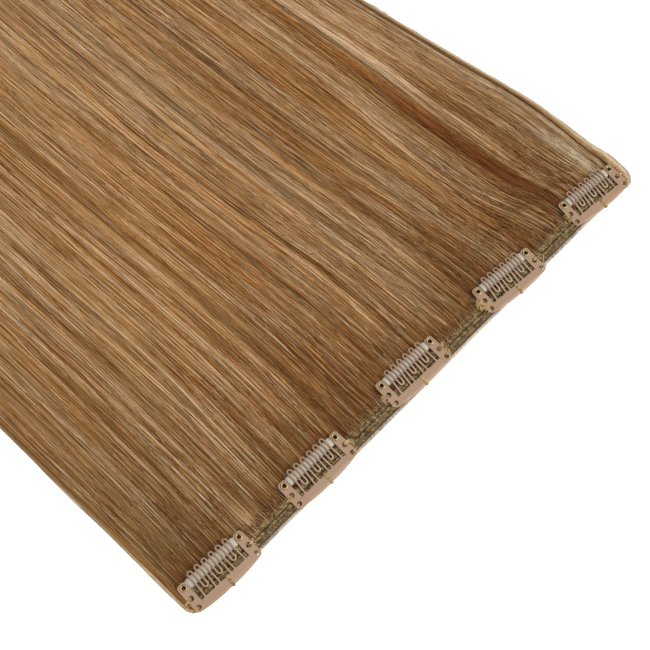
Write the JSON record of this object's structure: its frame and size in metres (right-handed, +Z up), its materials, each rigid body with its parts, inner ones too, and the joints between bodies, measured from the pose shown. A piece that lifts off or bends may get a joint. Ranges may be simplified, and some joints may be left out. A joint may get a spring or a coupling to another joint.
{
  "type": "clip-in hair extension",
  "caption": "Wide sewn weft of long straight hair with a row of snap clips along it, for fixing under the wearer's own hair.",
  "frame": {"origin": "middle of the weft's underside, on the surface that the extension lies on", "axes": "+X along the weft, +Y from the weft towards the hair's ends, +Z up through the clips"},
  "size_m": [0.2518, 0.4093, 0.0062],
  "materials": {
    "hair": "straight golden-brown hair with copper and ash strands",
    "weft_track": "machine-sewn dark weft with golden zigzag thread",
    "weft_edge": "pale rolled edge",
    "clip_enamel": "satin rose-tan enamel on stamped spring steel",
    "bar_steel": "plain rolled steel strip",
    "sleeve_silicone": "milky satin silicone",
    "eyelet_brass": "rolled brass"
  },
  "bodies": {
    "extension": {"hair": "hair", "weft_inner_track": "weft_track", "weft_outer_track": "weft_track", "weft_edge_roll": "weft_edge", "clip_1_frame": "clip_enamel", "clip_1_bar": "bar_steel", "clip_1_sleeve": "sleeve_silicone", "clip_1_eyelet_left": "eyelet_brass", "clip_1_eyelet_right": "eyelet_brass", "clip_2_frame": "clip_enamel", "clip_2_bar": "bar_steel", "clip_2_sleeve": "sleeve_silicone", "clip_2_eyelet_left": "eyelet_brass", "clip_2_eyelet_right": "eyelet_brass", "clip_3_frame": "clip_enamel", "clip_3_bar": "bar_steel", "clip_3_sleeve": "sleeve_silicone", "clip_3_eyelet_left": "eyelet_brass", "clip_3_eyelet_right": "eyelet_brass", "clip_4_frame": "clip_enamel", "clip_4_bar": "bar_steel", "clip_4_sleeve": "sleeve_silicone", "clip_4_eyelet_left": "eyelet_brass", "clip_4_eyelet_right": "eyelet_brass", "clip_5_frame": "clip_enamel", "clip_5_bar": "bar_steel", "clip_5_sleeve": "sleeve_silicone", "clip_5_eyelet_left": "eyelet_brass", "clip_5_eyelet_right": "eyelet_brass"},
    "snap_comb_1": {"clip_1_comb": "clip_enamel"},
    "snap_comb_2": {"clip_2_comb": "clip_enamel"},
    "snap_comb_3": {"clip_3_comb": "clip_enamel"},
    "snap_comb_4": {"clip_4_comb": "clip_enamel"},
    "snap_comb_5": {"clip_5_comb": "clip_enamel"}
  },
  "joints": [
    {"name": "clip_1_snap", "type": "hinge", "parent": "extension", "child": "snap_comb_1", "pos_m": [-0.10784, -0.00232, 0.00352], "axis": [0.9996, -0.0297, 0], "range_deg": [0, 35]},
    {"name": "clip_2_snap", "type": "hinge", "parent": "extension", "child": "snap_comb_2", "pos_m": [-0.05625, -0.00132, 0.00352], "axis": [0.9999, -0.0122, 0], "range_deg": [0, 35]},
    {"name": "clip_3_snap", "type": "hinge", "parent": "extension", "child": "snap_comb_3", "pos_m": [-0.00267, -0.00052, 0.00352], "axis": [0.9995, -0.0332, 0], "range_deg": [0, 35]},
    {"name": "clip_4_snap", "type": "hinge", "parent": "extension", "child": "snap_comb_4", "pos_m": [0.05265, -0.00149, 0.00352], "axis": [0.9962, -0.0872, 0], "range_deg": [0, 35]},
    {"name": "clip_5_snap", "type": "hinge", "parent": "extension", "child": "snap_comb_5", "pos_m": [0.1067, -0.00109, 0.00352], "axis": [0.9962, -0.0872, 0], "range_deg": [0, 35]}
  ]
}
